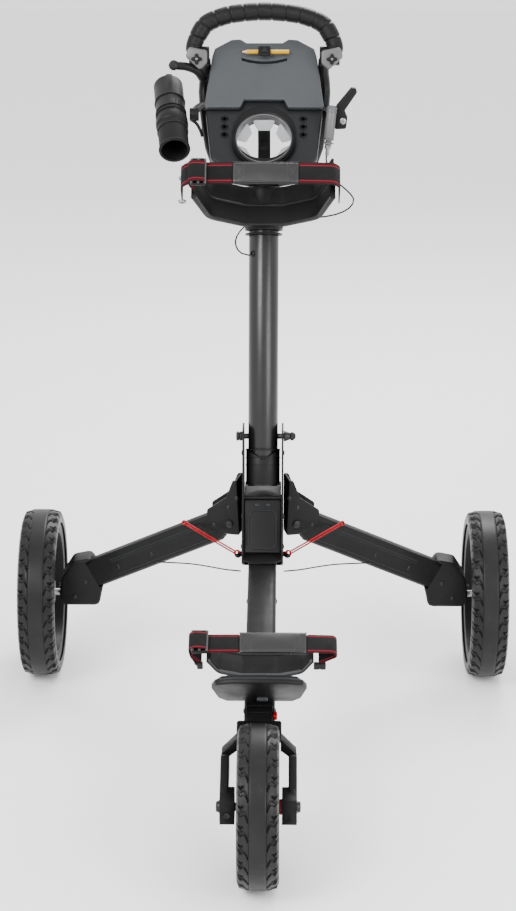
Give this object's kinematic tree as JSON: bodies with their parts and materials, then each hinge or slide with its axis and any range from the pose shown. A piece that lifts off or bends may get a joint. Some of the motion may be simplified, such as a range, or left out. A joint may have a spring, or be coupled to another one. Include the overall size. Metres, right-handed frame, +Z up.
{
  "type": "golf push cart",
  "caption": "Folding golf push cart with padded straps, a console with cup holder, an umbrella tube, a hand brake and spoked wheels.",
  "frame": {"origin": "on the ground, under the middle of the cart's length and width", "axes": "+Z up, -Y forward to the front wheel, +X to the right as seen from the front"},
  "size_m": [0.812, 1.0134, 1.1165],
  "materials": {
    "black_paint": "satin black powder coat",
    "black_plastic": "textured matte",
    "dark_grey_plastic": "satin moulded dark grey",
    "grey_plastic": "satin moulded grey",
    "grip_rubber": "ribbed soft grip",
    "leatherette": "stitched soft synthetic leather",
    "pencil_yellow": "gloss yellow lacquer on wood",
    "red_paint": "gloss red enamel",
    "silver_plastic": "silver-grey paint, satin",
    "steel": "zinc plated",
    "tyre_rubber": "matte solid foam rubber",
    "webbing": "woven webbing",
    "wing_grey": "matte moulded grey"
  },
  "bodies": {
    "frame": {"lower_tube": "black_paint", "hub_channel": "black_paint", "left_wing": "black_paint", "right_wing": "black_paint", "left_leg_pin": "steel", "right_leg_pin": "steel", "fold_pin": "steel", "front_neck": "black_plastic", "bag_rest": "black_plastic", "lower_saddle": "wing_grey", "lower_strap_left": "webbing", "lower_strap_right": "webbing", "lower_pad": "leatherette", "lower_buckle": "black_plastic", "left_brake_wire": "steel", "right_brake_wire": "steel"},
    "slider": {"strut_slider": "black_paint"},
    "left_strut": {"left_strut": "red_paint"},
    "right_strut": {"right_strut": "red_paint"},
    "left_leg": {"left_leg": "black_paint", "left_leg_end": "black_plastic", "left_axle": "steel"},
    "right_leg": {"right_leg": "black_paint", "right_leg_end": "black_plastic", "right_axle": "steel"},
    "left_brake_pin": {"left_brake_pin": "steel"},
    "right_brake_pin": {"right_brake_pin": "steel"},
    "left_wheel": {"left_rim": "black_plastic", "left_tyre": "tyre_rubber"},
    "right_wheel": {"right_rim": "black_plastic", "right_tyre": "tyre_rubber"},
    "fork": {"front_fork": "black_plastic", "front_axle": "steel"},
    "front_wheel": {"front_rim": "black_plastic", "front_tyre": "tyre_rubber"},
    "tab": {"release_tab": "red_paint"},
    "upper": {"upper_tube": "black_paint", "tube_sleeve": "black_plastic", "upper_collar": "black_plastic", "upper_saddle": "black_plastic", "upper_strap_left": "webbing", "upper_strap_right": "webbing", "upper_pad": "leatherette", "upper_buckle": "black_plastic", "yoke": "black_plastic", "console_body": "dark_grey_plastic", "cup_ring": "silver_plastic", "cup_strap": "black_plastic", "left_pivot_cover": "silver_plastic", "right_pivot_cover": "silver_plastic", "umbrella_clamp": "black_plastic", "brake_mount": "black_plastic", "brake_barrel": "silver_plastic", "brake_cable": "black_plastic"},
    "lid": {"console_lid": "grey_plastic", "pencil_clip": "black_plastic"},
    "pencil": {"pencil": "pencil_yellow"},
    "handle": {"handle_grip": "grip_rubber"},
    "umbrella": {"umbrella_tube": "black_plastic"},
    "lever": {"brake_lever": "black_plastic"}
  },
  "joints": [
    {"name": "upper_fold", "type": "hinge", "parent": "frame", "child": "upper", "pos_m": [0, 0.25175, 0.454], "axis": [1, 0, 0], "range_deg": [0, 100]},
    {"name": "strut_slide", "type": "slide", "parent": "frame", "child": "slider", "axis": [0, -0.9816, -0.1908], "range_m": [0, 0.0262]},
    {"name": "left_leg_fold", "type": "hinge", "parent": "frame", "child": "left_leg", "pos_m": [-0.05, 0.26745, 0.30657], "axis": [-0.2763, -0.9494, -0.1495], "range_deg": [0, 45.1], "deforming": ["left_brake_wire"]},
    {"name": "left_strut_swing", "type": "hinge", "parent": "slider", "child": "left_strut", "pos_m": [-0.0445, 0.19375, 0.269], "axis": [-0.6124, -0.472, -0.6342], "range_deg": [0, 30.14]},
    {"name": "left_wheel_spin", "type": "hinge", "parent": "left_leg", "child": "left_wheel", "pos_m": [-0.3735, 0.36675, 0.14], "axis": [1, 0, 0], "continuous": true},
    {"name": "right_leg_fold", "type": "hinge", "parent": "frame", "child": "right_leg", "pos_m": [0.05, 0.26745, 0.30657], "axis": [-0.2763, 0.9494, 0.1495], "range_deg": [0, 45.1], "deforming": ["right_brake_wire"]},
    {"name": "right_strut_swing", "type": "hinge", "parent": "slider", "child": "right_strut", "pos_m": [0.0445, 0.19375, 0.269], "axis": [-0.6124, 0.472, 0.6342], "range_deg": [0, 30.14]},
    {"name": "right_wheel_spin", "type": "hinge", "parent": "right_leg", "child": "right_wheel", "pos_m": [0.3735, 0.36675, 0.14], "axis": [1, 0, 0], "continuous": true},
    {"name": "front_fork_fold", "type": "hinge", "parent": "frame", "child": "fork", "pos_m": [0, -0.26725, 0.1795], "axis": [1, 0, 0], "range_deg": [0, 60]},
    {"name": "front_wheel_spin", "type": "hinge", "parent": "fork", "child": "front_wheel", "pos_m": [0, -0.39125, 0.1155], "axis": [1, 0, 0], "continuous": true},
    {"name": "release_tab_press", "type": "slide", "parent": "frame", "child": "tab", "axis": [-1, 0, 0], "range_m": [0, 0.002], "stiffness_N_per_m": 400},
    {"name": "handle_tilt", "type": "hinge", "parent": "upper", "child": "handle", "pos_m": [0, 0.43275, 1.036], "axis": [1, 0, 0], "range_deg": [-40, 8]},
    {"name": "lid_open", "type": "hinge", "parent": "upper", "child": "lid", "pos_m": [0, 0.45846, 1.05381], "axis": [-1, 0, 0], "range_deg": [0, 60]},
    {"name": "pencil_pull", "type": "slide", "parent": "lid", "child": "pencil", "axis": [1, 0, 0], "range_m": [0, 0.04]},
    {"name": "umbrella_swivel", "type": "hinge", "parent": "upper", "child": "umbrella", "pos_m": [-0.147, 0.35675, 0.952], "axis": [-1, 0, 0], "range_deg": [0, 110]},
    {"name": "brake_lever_swing", "type": "hinge", "parent": "upper", "child": "lever", "pos_m": [0.1235, 0.36875, 0.946], "axis": [-1, 0, 0], "range_deg": [0, 40]},
    {"name": "left_brake_pin_slide", "type": "slide", "parent": "left_leg", "child": "left_brake_pin", "axis": [-1, 0, 0], "range_m": [0, 0.0029]},
    {"name": "right_brake_pin_slide", "type": "slide", "parent": "right_leg", "child": "right_brake_pin", "axis": [1, 0, 0], "range_m": [0, 0.0029]}
  ],
  "couplings": [
    {"joint": "strut_slide", "follows": "upper_fold", "m_per_rad": 0.014903},
    {"joint": "left_leg_fold", "follows": "upper_fold", "ratio": 0.45},
    {"joint": "left_strut_swing", "follows": "upper_fold", "ratio": 0.30035},
    {"joint": "left_brake_pin_slide", "follows": "brake_lever_swing", "m_per_rad": 0.004011},
    {"joint": "right_leg_fold", "follows": "upper_fold", "ratio": 0.45},
    {"joint": "right_strut_swing", "follows": "upper_fold", "ratio": 0.30035},
    {"joint": "right_brake_pin_slide", "follows": "brake_lever_swing", "m_per_rad": 0.004011}
  ]
}
